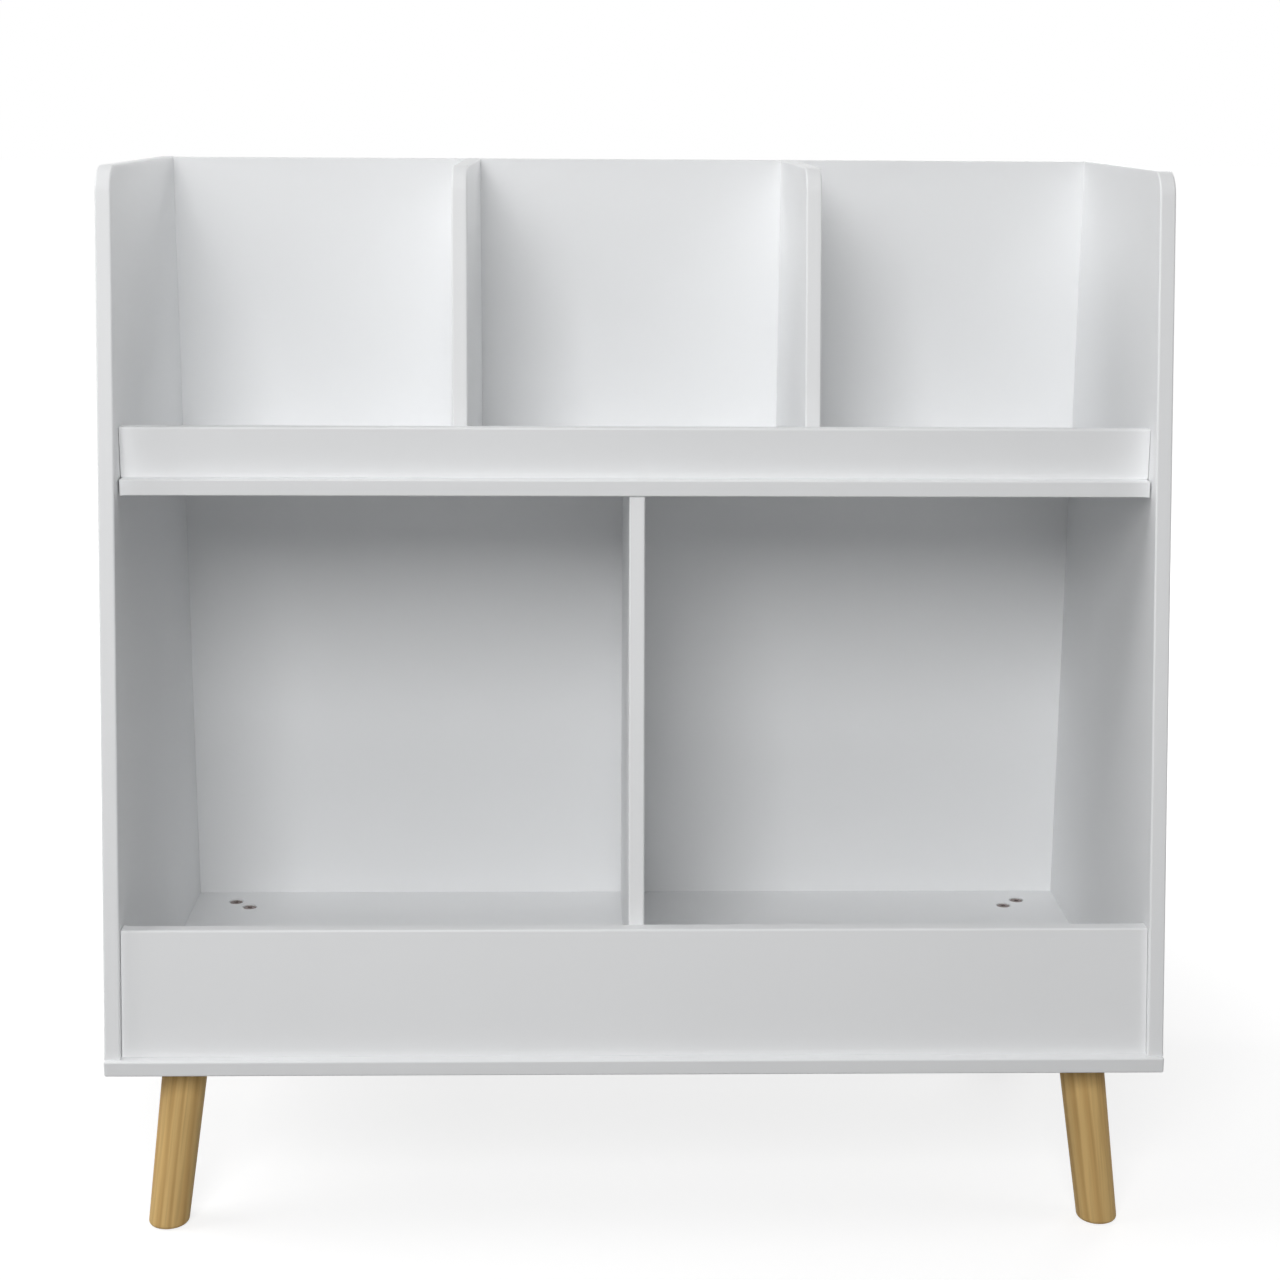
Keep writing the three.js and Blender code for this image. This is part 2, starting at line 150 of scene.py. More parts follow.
def make_piece(name, patches, material, node):
    """One object from patches, riding on the case and standing for a node of the frame."""
    points = np.concatenate([patch["points"] for patch in patches])
    normals = np.concatenate([patch["normals"] for patch in patches])
    edge = np.concatenate([patch["edge"] for patch in patches])
    starts = np.cumsum([0] + [len(patch["points"]) for patch in patches[:-1]])
    faces = [[start + i for i in face] for patch, start in zip(patches, starts) for face in patch["faces"]]
    _, kept, place = np.unique(np.round(points, WELD_DIGITS), axis=0, return_index=True, return_inverse=True)
    place = place.ravel()
    mesh = bpy.data.meshes.new(name)
    mesh.from_pydata(points[kept], [], [place[face].tolist() for face in faces])
    mesh.polygons.foreach_set("use_smooth", np.ones(len(faces), bool))
    mesh.normals_split_custom_set(normals[np.concatenate(faces)].tolist())
    eased = np.zeros(len(kept), np.float32)
    np.maximum.at(eased, place, edge.astype(np.float32))
    mesh.attributes.new("eased_edge", "FLOAT", "POINT").data.foreach_set("value", eased)
    mesh.materials.append(material)
    piece = bpy.data.objects.new(name, mesh)
    bpy.context.scene.collection.objects.link(piece)
    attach(piece, "root")
    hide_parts(node)
    return piece


print("points are welded within", 10 ** -WELD_DIGITS / MM, "mm")

# %% [markdown]
# ## Colours and nodes
# Colours are written as they look on a screen, in hex, and turned to linear light once. One small
# function adds a shader node: its settings, then plain values or other nodes' outputs for its inputs. The
# few nodes that every material here needs get a short function each, so a recipe reads as a list of steps.


# %% Colour and node helpers
def linear(hex_colour):
    """A hex colour as linear red, green, blue and alpha: a straight line near black, above it a power."""
    shown = np.array([int(hex_colour[i:i + 2], 16) for i in (1, 3, 5)]) / 255
    light = np.where(shown <= 0.04045, shown / 12.92, ((shown + 0.055) / 1.055) ** 2.4)
    return (*light.tolist(), 1.0)


def add_node(tree, kind, settings=None, inputs=None):
    """A shader node with its settings, and with a value or a link for each named or numbered input."""
    made = tree.nodes.new("ShaderNode" + kind)
    for key, value in (settings or {}).items():
        setattr(made, key, value)
    for key, value in (inputs or {}).items():
        if isinstance(value, bpy.types.NodeSocket):
            tree.links.new(value, made.inputs[key])
        else:
            made.inputs[key].default_value = value
    return made


def new_material(name, **plain):
    """A material with one Principled shader, and the values that are the same all over its surface."""
    material = bpy.data.materials.new(name)
    material.use_nodes = True
    shader = material.node_tree.nodes["Principled BSDF"]
    for key, value in plain.items():
        shader.inputs[key.replace("_", " ")].default_value = value
    return material, material.node_tree, shader


print("middle grey in linear light:", round(linear("#808080")[0], 3))

# %% Steps of a recipe
MIX_SHARE = 0
MIX_FIRST = 6
MIX_SECOND = 7
MIX_RESULT = 2


def mix_colours(tree, share, first, second):
    """The colour between two others. The numbers above are the places of the Mix node's colour sockets."""
    chosen = {MIX_SHARE: share, MIX_FIRST: first, MIX_SECOND: second}
    return add_node(tree, "Mix", {"data_type": "RGBA"}, chosen).outputs[MIX_RESULT]


def soft_noise(tree, place, size, detail):
    """Smooth noise from nought to one with features of one size; detail is how many finer layers it has."""
    noise = add_node(tree, "TexNoise", inputs={"Vector": place, "Scale": 1 / size, "Detail": detail})
    return noise.outputs["Fac"]


def spread(tree, value, ends, start=(0, 1)):
    """A value that runs over start, spread evenly between two other ends."""
    limits = {"From Min": start[0], "From Max": start[1], "To Min": ends[0], "To Max": ends[1]}
    return add_node(tree, "MapRange", inputs={"Value": value, **limits}).outputs[0]


def maths(tree, operation, *values):
    """The result of one sum on plain values or other nodes' outputs."""
    return add_node(tree, "Math", {"operation": operation}, dict(enumerate(values))).outputs[0]


print("recipe steps:", [step.__name__ for step in (mix_colours, soft_noise, spread, maths)])

# %% [markdown]
# ## Satin white paint
# The boards are fibreboard with a sprayed satin lacquer. Sprayed paint dries with a fine orange peel of two
# or three millimetres and the board itself is a little wavy, which breaks up reflections. On eased edges the
# fibres soak up more paint, so the edge is a touch rougher. A plain white would look like plastic.

# %% Satin white paint
PAINT_WHITE = "#F6F7F8"
PAINT_SHADE = "#F2F3F4"
PAINT_ROUGHNESS = (0.36, 0.46)
EDGE_ROUGHER = 0.1
COATING_IOR = 1.5
CLOUD_SIZE = 160 * MM
WAVE_SIZE = 70 * MM
WAVE_HEIGHT = 0.05 * MM
PEEL_SIZE = 2.6 * MM
PEEL_HEIGHT = 0.012 * MM

paint, tree, shader = new_material("satin white lacquer on fibreboard", IOR=COATING_IOR)
place = add_node(tree, "TexCoord").outputs["Object"]
cloud = soft_noise(tree, place, CLOUD_SIZE, 3)
clouded = mix_colours(tree, cloud, linear(PAINT_WHITE), linear(PAINT_SHADE))
tree.links.new(clouded, shader.inputs["Base Color"])
eased = add_node(tree, "Attribute", {"attribute_name": "eased_edge"}).outputs["Fac"]
rough = maths(tree, "MULTIPLY_ADD", eased, EDGE_ROUGHER, spread(tree, cloud, PAINT_ROUGHNESS))
tree.links.new(rough, shader.inputs["Roughness"])
wave = soft_noise(tree, place, WAVE_SIZE, 1)
peel = soft_noise(tree, place, PEEL_SIZE, 2)
waves = add_node(tree, "Bump", inputs={"Height": wave, "Distance": WAVE_HEIGHT}).outputs[0]
peels = add_node(tree, "Bump", inputs={"Height": peel, "Distance": PEEL_HEIGHT, "Normal": waves}).outputs[0]
tree.links.new(peels, shader.inputs["Normal"])
print("finish:", paint.name)

# %% [markdown]
# ## Leg wood
# The legs are turned from a golden softwood and oiled, so they shine less than the paint and their edges
# stay dark. Each growth ring fades from pale early wood to a darker line, and runs along the leg because the
# pith lies beside it. So the pattern is a distance from a line, in the leg's own upright coordinates, which
# each leg carries as an attribute. Long thin fibres tint the wood and roughen it.

# %% Growth rings
EARLY_WOOD = "#E8C483"
LATE_WOOD = "#D6AE6F"
EARLY_UNTIL = 0.25
LATE_AT = 0.78
RING_SPACING = 9 * MM
RING_WANDER = 10 * MM
WANDER_SIZE = (26 * MM, 26 * MM, 240 * MM)
PITH_OFFSET = (34 * MM, 15 * MM, 0)
WOOD_SHINE = 0.2


def stretched_noise(tree, place, sizes, detail):
    """Smooth noise with features of three sizes, along x, y and z."""
    often = tuple(1 / size for size in sizes)
    stretched = add_node(tree, "Mapping", inputs={"Vector": place, "Scale": often}).outputs[0]
    return soft_noise(tree, stretched, 1, detail)


leg_wood, tree, shader = new_material("oiled pine", IOR=COATING_IOR, Specular_IOR_Level=WOOD_SHINE)
grain = add_node(tree, "Attribute", {"attribute_name": "grain"}).outputs["Vector"]
wander = stretched_noise(tree, grain, WANDER_SIZE, 3)
from_pith = add_node(tree, "VectorMath", {"operation": "ADD"}, {0: grain, 1: PITH_OFFSET})
across = add_node(tree, "VectorMath", {"operation": "MULTIPLY"}, {0: from_pith.outputs[0], 1: (1, 1, 0)})
distance = add_node(tree, "VectorMath", {"operation": "LENGTH"}, {0: across.outputs[0]}).outputs["Value"]
moved = maths(tree, "MULTIPLY_ADD", wander, RING_WANDER, distance)
within = maths(tree, "FRACT", maths(tree, "DIVIDE", moved, RING_SPACING))
ring = add_node(tree, "ValToRGB", inputs={0: within})
ramp = ring.color_ramp
ramp.interpolation = "EASE"
ramp.elements[0].color = linear(EARLY_WOOD)
ramp.elements[0].position = EARLY_UNTIL
ramp.elements[1].color = linear(LATE_WOOD)
ramp.elements[1].position = LATE_AT
ramp.elements.new(1.0).color = linear(EARLY_WOOD)
print("growth rings, mm apart:", round(RING_SPACING / MM, 1))

# %% Fibres and oil
FIBRE_TINT = "#A17542"
FIBRE_SIZE = (2.2 * MM, 2.2 * MM, 70 * MM)
FIBRE_RANGE = (0.45, 0.75)
FIBRE_STRENGTH = 0.3
FIBRE_HEIGHT = 0.015 * MM
WOOD_ROUGHNESS = (0.5, 0.65)

fibre = stretched_noise(tree, grain, FIBRE_SIZE, 4)
fibre_share = spread(tree, fibre, (0, FIBRE_STRENGTH), FIBRE_RANGE)
tinted = mix_colours(tree, fibre_share, ring.outputs["Color"], linear(FIBRE_TINT))
tree.links.new(tinted, shader.inputs["Base Color"])
tree.links.new(spread(tree, fibre, WOOD_ROUGHNESS), shader.inputs["Roughness"])
fibres = add_node(tree, "Bump", inputs={"Height": fibre, "Distance": FIBRE_HEIGHT}).outputs[0]
tree.links.new(fibres, shader.inputs["Normal"])
print("finish:", leg_wood.name)

# %% [markdown]
# ## Metals and dowel wood
# Bolts are bronzed steel, screws and cams are bright zinc plate, and the inserts are plain brass. They share
# one recipe: a metal whose colour and gloss drift a little over a few millimetres, as plating does. The
# dowels are bare beech, with small dark flecks.


# %% Metals
def plated_metal(name, colour, dull_colour, patch, roughness):
    """A metal that drifts between two colours and two roughnesses in soft patches of one size."""
    material, tree, shader = new_material(name, Metallic=1.0)
    place = add_node(tree, "TexCoord").outputs["Object"]
    patches = soft_noise(tree, place, patch, 3)
    drift = mix_colours(tree, patches, linear(colour), linear(dull_colour))
    tree.links.new(drift, shader.inputs["Base Color"])
    tree.links.new(spread(tree, patches, roughness), shader.inputs["Roughness"])
    print("finish:", material.name)
    return material


bronzed_steel = plated_metal("bronzed steel", "#B0A29E", "#746B68", patch=3 * MM, roughness=(0.36, 0.52))
zinc_plate = plated_metal("bright zinc plate", "#C3C6C9", "#9FA3A8", patch=4 * MM, roughness=(0.26, 0.42))
plain_brass = plated_metal("plain brass", "#C7A35A", "#A98745", patch=4 * MM, roughness=(0.28, 0.42))

# %% Bare beech
BEECH_PALE = "#DDBE95"
BEECH_FLECK = "#B98E63"
BEECH_ROUGHNESS = 0.62
FLECK_SIZE = 1.2 * MM
FLECK_REACH = 0.5
FLECK_STRENGTH = 0.7

bare_beech, tree, shader = new_material("bare beech", Roughness=BEECH_ROUGHNESS)
place = add_node(tree, "TexCoord").outputs["Object"]
flecks = add_node(tree, "TexVoronoi", inputs={"Vector": place, "Scale": 1 / FLECK_SIZE}).outputs["Distance"]
fleck_share = spread(tree, flecks, (FLECK_STRENGTH, 0), (0, FLECK_REACH))
flecked = mix_colours(tree, fleck_share, linear(BEECH_PALE), linear(BEECH_FLECK))
tree.links.new(flecked, shader.inputs["Base Color"])
print("finish:", bare_beech.name)

# %% [markdown]
# ## The boards' outline
# A board is a flat outline with a thickness. Its free edges are eased with a small router bit, and
# edges that meet another board stay almost square so that the joint closes. The outline is a loop of arcs
# with straight runs between them, and each of its points knows its outward direction and its own easing.

# %% Board outline
ARC_STEPS = 12
EDGE_STEPS = 6
FREE = 1.6 * MM
JOINT = 0.35 * MM
TAPER = 4 * MM
CORNER_MARGIN = 1.15


def rounded_outline(corners, easing, radii):
    """A closed loop round corners given anticlockwise. Each corner becomes an arc that touches both sides,
    of its own radius or just over the easing there. easing has one value for the side after each corner."""
    corners = np.asarray(corners, float)
    easing = np.asarray(easing, float)
    before = np.roll(easing, 1)
    least = np.minimum(easing, before)
    radii = np.maximum(radii, least * CORNER_MARGIN)
    ahead = np.roll(corners, -1, axis=0) - corners
    ahead /= np.linalg.norm(ahead, axis=1, keepdims=True)
    behind = np.roll(ahead, 1, axis=0)
    turn = np.arctan2(np.cross(behind, ahead), np.sum(behind * ahead, axis=1))
    reach = radii * np.tan(turn / 2)
    arc_start = corners - behind * reach[:, None]
    arc_end = corners + ahead * reach[:, None]
    out_before = np.stack([behind[:, 1], -behind[:, 0]], axis=1)
    out_after = np.stack([ahead[:, 1], -ahead[:, 0]], axis=1)
    start_angle = np.arctan2(out_before[:, 1], out_before[:, 0])
    angles = start_angle[:, None] + turn[:, None] * np.linspace(0, 1, ARC_STEPS + 1)
    arc_out = np.stack([np.cos(angles), np.sin(angles)], axis=-1)
    centre = arc_start - out_before * radii[:, None]
    arc = centre[:, None] + arc_out * radii[:, None, None]
    entry = arc_start - behind * TAPER
    leave = arc_end + ahead * TAPER
    points = np.concatenate([entry[:, None], arc, leave[:, None]], axis=1)
    outward = np.concatenate([out_before[:, None], arc_out, out_after[:, None]], axis=1)
    on_arc = np.repeat(least[:, None], ARC_STEPS + 1, axis=1)
    eased = np.concatenate([before[:, None], on_arc, easing[:, None]], axis=1)
    return points.reshape(-1, 2), outward.reshape(-1, 2), eased.ravel()


print("points along an outline, for each corner:", ARC_STEPS + 3)

# %% [markdown]
# ## The boards' skin
# Carried along the outline, the edge's profile is two quarter circles with a flat between them. Where a
# screw, cam or bolt head sits in a face, the face gets a shallow round pocket: a wall and a floor. The two
# faces close the skin, each drawn as one flat face or, round pockets, as flat triangles.

# %% Board skin
POCKET_POINTS = 40
POCKET_LIP = 0.25 * MM
AXES = {
    "X": np.array([[0, 1, 0], [0, 0, 1], [1, 0, 0]], float),
    "Y": np.array([[1, 0, 0], [0, 0, 1], [0, 1, 0]], float),
    "Z": np.array([[1, 0, 0], [0, 1, 0], [0, 0, 1]], float),
}


def pocket_patches(centre, radius, depth, face, side, axes):
    """A round pocket in a face: a broken rim, a wall and a floor. side is 1 on the upper face, else -1."""
    angle = np.linspace(0, 2 * pi, POCKET_POINTS, endpoint=False)
    round_about = np.stack([np.cos(angle), np.sin(angle)], axis=-1)
    rows_radius = np.array([radius + POCKET_LIP, radius, radius])
    rows_level = face - side * np.array([0, POCKET_LIP, depth])
    plane = centre + rows_radius[:, None, None] * round_about
    level = np.broadcast_to(rows_level[:, None, None], (*plane.shape[:2], 1))
    points = np.concatenate([plane, level], axis=-1) @ axes
    inward = np.concatenate([-round_about, np.zeros((POCKET_POINTS, 1))], axis=-1) @ axes
    wall = grid_patch(points, np.broadcast_to(inward, points.shape))
    floor = flat_patch(points[-1], side * axes[2])
    return points[0], [wall, floor]


def board_patches(outline, low, high, axis, pockets=()):
    """A board's edge and two faces. The edge is the outline moved in by the easing, then out and along by
    the easing's quarter circle. axis names the thickness; pockets are (centre, radius, depth, side)."""
    points, outward, eased = outline
    axes = AXES[axis]
    quarter = np.linspace(0, pi / 2, EDGE_STEPS + 1)
    bend = np.concatenate([quarter - pi / 2, quarter])[:, None]
    on_low = np.arange(len(bend))[:, None] <= EDGE_STEPS
    level = np.where(on_low, low + eased, high - eased) + eased * np.sin(bend)
    plane = points + outward * (eased * (np.cos(bend) - 1))[..., None]
    grid = np.concatenate([plane, level[..., None]], axis=-1) @ axes
    flat_out = np.broadcast_to(outward * np.cos(bend)[..., None], plane.shape)
    rise = np.broadcast_to(np.sin(bend), level.shape)[..., None]
    normals = np.concatenate([flat_out, rise], axis=-1) @ axes
    on_edge = np.ones(len(bend))
    on_edge[[0, -1]] = 0
    patches = [grid_patch(grid, normals, on_edge)]
    for side, face, loop in ((-1, low, grid[0]), (1, high, grid[-1])):
        rims = []
        for centre, radius, depth, pocket_side in pockets:
            if pocket_side == side:
                rim, made = pocket_patches(np.asarray(centre), radius, depth, face, side, axes)
                rims.append(rim)
                patches.extend(made)
        patches.append(flat_patch(loop, side * axes[2], rims))
    return patches


print("points round a pocket:", POCKET_POINTS)

# %% [markdown]
# ## Side panels and dividers
# The side panels lean back at the front and end in a generous round corner at the top, so that a child's
# head meets no point. The upper dividers repeat that shape at shelf height, and the centre divider stops
# under the shelf with plain corners. All five are one outline function with other sizes.

# %% Side panels and dividers
SIDE_TOP_DEPTH = 286 * MM
ROUND_CORNER = 22 * MM
side_low, side_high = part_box("left_side_panel")
LEAN = (side_high.y - SIDE_TOP_DEPTH - side_low.y) / (side_high.z - side_low.z)


def upright_board(node, top_corner, rear_easing, top_easing):
    """An upright board standing across the case: square at the back, leaning at the front."""
    low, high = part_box(node)
    top_front = low.y + LEAN * (high.z - low.z)
    corners = [(low.y, low.z), (high.y, low.z), (high.y, high.z), (top_front, high.z)]
    outline = rounded_outline(corners, [JOINT, rear_easing, top_easing, FREE], [0, 0, 0, top_corner])
    patches = board_patches(outline, low.x, high.x, "X")
    return make_piece(f"painted_{node}", patches, paint, node)


boards = [upright_board(f"{side}_side_panel", ROUND_CORNER, FREE, FREE) for side in ("left", "right")]
boards += [upright_board(f"upper_{side}_divider", ROUND_CORNER, JOINT, FREE) for side in ("left", "right")]
boards.append(upright_board("centre_divider", 0, JOINT, JOINT))
print("upright boards:", [board.name for board in boards])

# %% [markdown]
# ## Back panel
# The thin back slides into a groove in each side panel. The grooves can't be seen, so the side panels are
# drawn whole and the back's edges run a little way into them, as they do in the real groove.

# %% Back panel
BACK_BITE = 3 * MM
BACK_TOP_DROP = 0.3 * MM
BACK_EASING = 0.8 * MM
back_low, back_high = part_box("back_panel")
inner_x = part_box("right_side_panel")[0].x
back_x = inner_x + BACK_BITE
back_top = back_high.z - BACK_TOP_DROP
back_corners = [(-back_x, back_low.z), (back_x, back_low.z), (back_x, back_top), (-back_x, back_top)]
back_outline = rounded_outline(back_corners, [JOINT, JOINT, BACK_EASING, JOINT], [0] * 4)
back_patches = board_patches(back_outline, back_low.y, back_high.y, "Y")
make_piece("painted_back_panel", back_patches, paint, "back_panel")
print("back panel, mm thick:", round((back_high.y - back_low.y) / MM, 1))

# %% [markdown]
# ## Bottom board and shelf
# Both lie flat. The bottom board carries the legs: two bolts for each leg go down through it, and their
# heads sit in pockets that show as dark ovals in the bins. Screws come up through it from below into the
# upright boards, and cam fittings in the shelf's underside draw it to the side panels.

# %% Pockets for heads
HEAD_GAP = 0.6 * MM
POCKET_DEPTH = 2.2 * MM
UP = 1
DOWN = -1


def nodes_named(starts, ending):
    """Nodes of the frame whose names start with a word, or one of several, and end like this."""
    return [node for node in sorted(frame["nodes"]) if node.startswith(starts) and node.endswith(ending)]


def head_place(node):
    """Centre of a fastener's head in the plane of the board, and the head's radius."""
    low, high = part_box(node)
    centre = (low + high) / 2
    return np.array([centre.x, centre.y]), (high.x - low.x) / 2


def pockets_for(nodes, side):
    """A pocket for the head of each of these fasteners, in the upper or lower face of a board."""
    places = [head_place(node) for node in nodes]
    return [(centre, radius + HEAD_GAP, POCKET_DEPTH, side) for centre, radius in places]


leg_bolts = nodes_named(("front_", "rear_"), "_bolt")
screwed_boards = ("left_side", "right_side", "centre")
case_screws = [node for board in screwed_boards for node in nodes_named(board, "_screw")]
shelf_screws = nodes_named("upper_", "_screw")
cams = nodes_named("shelf_", "_cam")
print("bolts:", len(leg_bolts), "screws:", len(case_screws + shelf_screws), "cams:", len(cams))

# %% Bottom board and shelf
SHELF_EASING = 1.0 * MM
SHELF_TRIM = 0.5 * MM


def flat_board(node, easing, pockets, trim=0):
    """A board lying flat; easing is for its front, right, rear and left edges in turn. trim shortens it at
    both ends, to widen the dark gap there."""
    low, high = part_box(node)
    left, right = low.x + trim, high.x - trim
    corners = [(left, low.y), (right, low.y), (right, high.y), (left, high.y)]
    outline = rounded_outline(corners, easing, [0] * 4)
    patches = board_patches(outline, low.z, high.z, "Z", pockets)
    return make_piece(f"painted_{node}", patches, paint, node)


bottom_pockets = pockets_for(leg_bolts, UP) + pockets_for(case_screws, DOWN)
shelf_pockets = pockets_for(shelf_screws + cams, DOWN)
flat_board("bottom_board", [FREE] * 4, bottom_pockets)
flat_board("middle_shelf", [SHELF_EASING, JOINT, JOINT, JOINT], shelf_pockets, SHELF_TRIM)
print("bottom board pockets:", len(bottom_pockets), "shelf pockets:", len(shelf_pockets))

# %% [markdown]
# ## Front lips
# A low lip stands on the shelf and a taller one on the bottom board, to keep books and toys in. The taller
# one leans with the side panels. It is drawn upright and then sheared backwards, so that its foot and top
# stay level. A shear turns normals the other way from points, by the transposed inverse.


# %% Front lips
def leaned(patches, foot_level):
    """Patches sheared backwards in proportion to their height above a level."""
    for patch in patches:
        patch["points"] = patch["points"].copy()
        patch["points"][:, 1] += LEAN * (patch["points"][:, 2] - foot_level)
        patch["normals"] = patch["normals"].copy()
        patch["normals"][:, 2] -= LEAN * patch["normals"][:, 1]
        patch["normals"] /= np.linalg.norm(patch["normals"], axis=1, keepdims=True)
    return patches


def front_lip(node, leaning):
    """A lip between the side panels, with its top edge eased."""
    low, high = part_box(node)
    run = LEAN * (high.z - low.z) if leaning else 0
    corners = [(low.x, low.z), (high.x, low.z), (high.x, high.z), (low.x, high.z)]
    outline = rounded_outline(corners, [JOINT, JOINT, FREE, JOINT], [0] * 4)
    patches = board_patches(outline, low.y, high.y - run, "Y")
    if leaning:
        patches = leaned(patches, low.z)
    return make_piece(f"painted_{node}", patches, paint, node)


lips = [front_lip("upper_front_lip", False), front_lip("lower_front_lip", True)]
print("lips:", [lip.name for lip in lips])

# %% [markdown]
# ## Legs
# Each leg is a turned cone, set askew so that it splays out to its corner, with top and foot cut level. So
# the surface is a circle of changing radius whose centre moves sideways as it rises. The foot's rim is
# rounded as a quarter circle and the top has a fine chamfer where it meets the board.

# %% Leg surface
LEG_TOP_RADIUS = 17.5 * MM
LEG_FOOT_RADIUS = 15.5 * MM
FOOT_ROUND = 3.4 * MM
TOP_CHAMFER = 0.5 * MM
LEG_POINTS = 96
LEG_ROWS = 30
ROUND_ROWS = 8


def leg_patches(top, foot):
    """Skin of a leg from its foot's centre to its top's centre: radius and centre as functions of height."""
    height = top[2] - foot[2]
    bend = np.linspace(0, pi / 2, ROUND_ROWS, endpoint=False)
    rounding = FOOT_ROUND * (1 - np.cos(bend))
    straight = np.linspace(FOOT_ROUND, height - TOP_CHAMFER, LEG_ROWS)
    level = np.concatenate([rounding, straight, [height]])
    radius = LEG_FOOT_RADIUS + (LEG_TOP_RADIUS - LEG_FOOT_RADIUS) * level / height
    radius[:ROUND_ROWS] -= FOOT_ROUND * (1 - np.sin(bend))
    radius[-1] -= TOP_CHAMFER
    centre = foot + (top - foot) * (level / height)[:, None]
    angle = np.linspace(0, 2 * pi, LEG_POINTS, endpoint=False)
    ring = np.stack([np.cos(angle), np.sin(angle), np.zeros(LEG_POINTS)], axis=-1)
    points = centre[:, None] + radius[:, None, None] * ring
    side = grid_patch(points, grid_normals(points, centre[:, None]))
    down = np.array([0.0, 0.0, -1.0])
    return [side, flat_patch(points[0], down), flat_patch(points[-1], -down)]


print("rings along a leg:", ROUND_ROWS + LEG_ROWS + 1)

# %% Leg grain
GRAIN_TURN = 0.9
GRAIN_SHIFT = 370 * MM


def add_grain(piece, top, foot, number):
    """The leg's own upright coordinates: less its splay, turned and moved apart for each leg."""
    points = np.empty(len(piece.data.vertices) * 3)
    piece.data.vertices.foreach_get("co", points)
    points = points.reshape(-1, 3)
    share = ((points[:, 2] - foot[2]) / (top[2] - foot[2]))[:, None]
    own = points - (foot + (top - foot) * share)
    own[:, 2] = points[:, 2]
    turn = GRAIN_TURN * number
    spin = np.array([[np.cos(turn), np.sin(turn), 0], [-np.sin(turn), np.cos(turn), 0], [0, 0, 1]])
    own = own @ spin
    own[:, 2] += GRAIN_SHIFT * number
    grain = piece.data.attributes.new("grain", "FLOAT_VECTOR", "POINT")
    grain.data.foreach_set("vector", own.astype(np.float32).ravel())


print("grain moved along from leg to leg, mm:", round(GRAIN_SHIFT / MM))

# %% Place the legs
feet = {mount["name"]: np.array(mount["pos_m"]) for mount in frame["record"]["mounts"]}
for number, (name, foot) in enumerate(sorted(feet.items())):
    node = name.replace("_foot", "_leg")
    low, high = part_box(node)
    inward = -np.sign(foot[:2])
    inner = np.where(inward < 0, np.array(low)[:2], np.array(high)[:2])
    top = np.array([*(inner - inward * LEG_TOP_RADIUS), high.z])
    leg = make_piece(f"turned_{node}", leg_patches(top, foot), leg_wood, node)
    add_grain(leg, top, foot, number)
    print(leg.name, "splay in mm:", np.round((foot - top)[:2] / MM, 1))

# %% [markdown]
# ## Bolts, screws and cams
# A fastener is turned, but its driver recess isn't round. Both are covered by one grid if the radius may
# change with the angle: a hexagon is its flat's distance over a cosine, and a cross is the larger of its two
# bars. So each head is a stack of rings that goes along the shank, over the head and down into the recess.

# %% Recess outlines
RECESS_POINTS = 96
RING_ANGLES = np.linspace(0, 2 * pi, RECESS_POINTS, endpoint=False)


def hexagon(flats):
    """Radius of a hexagon by angle: half the distance across its flats, over the cosine to the next flat."""
    return flats / 2 / np.cos((RING_ANGLES % (pi / 3)) - pi / 6)


def cross(length, width):
    """Radius of a cross by angle: in each bar the nearer of its end and its side, then the larger bar."""
    angle = RING_ANGLES + pi / RECESS_POINTS
    run = np.abs(np.cos(angle))
    rise = np.abs(np.sin(angle))
    level_bar = np.minimum(length / run, width / rise)
    upright_bar = np.minimum(length / rise, width / run)
    return np.maximum(level_bar, upright_bar) / 2


print("points round a recess:", RECESS_POINTS)


# %% Turned fasteners
def turned_patches(place, side, profile, recess, recess_depth, recess_draft):
    """A closed upright turned piece: rings from its end to the rim of its head, the flat of the head round
    the recess, the recess's wall, drawn in a little with depth, and its floor. profile is (radius, level)."""
    axis = np.array([0.0, 0.0, side])
    ring = np.stack([np.cos(RING_ANGLES), side * np.sin(RING_ANGLES), np.zeros(RECESS_POINTS)], axis=-1)
    profile = np.asarray(profile, float)
    spine = place + profile[:, 1, None, None] * axis
    outside = spine + profile[:, 0, None, None] * ring
    head_level = place + profile[-1, 1] * axis
    mouth = head_level + recess[:, None] * ring
    floor = head_level - recess_depth * axis + (recess * recess_draft)[:, None] * ring
    top = np.stack([outside[-1], mouth])
    wall = np.stack([mouth, floor])
    wall_out = grid_normals(wall, head_level)
    return [
        flat_patch(outside[0], -axis),
        grid_patch(outside, grid_normals(outside, spine)),
        grid_patch(top, np.broadcast_to(axis, top.shape)),
        grid_patch(wall, -wall_out),
        flat_patch(floor, axis),
    ]


def seat(node, side, sink):
    """Centre of a fastener's head, sunk a little into its board, the head's radius and the length."""
    low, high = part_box(node)
    centre, radius = head_place(node)
    level = high.z - sink if side == UP else low.z + sink
    return np.array([*centre, level]), radius, high.z - low.z - sink


print("fastener helpers:", [helper.__name__ for helper in (turned_patches, seat)])

# %% Leg bolts
BOLT_SHANK = 3.0 * MM
BOLT_RIM = 0.6 * MM
BOLT_SINK = 0.5 * MM
BOLT_CONE = 3.0 * MM
HEX_FLATS = 4.0 * MM
HEX_DEPTH = 1.8 * MM
HEX_DRAFT = 1.0

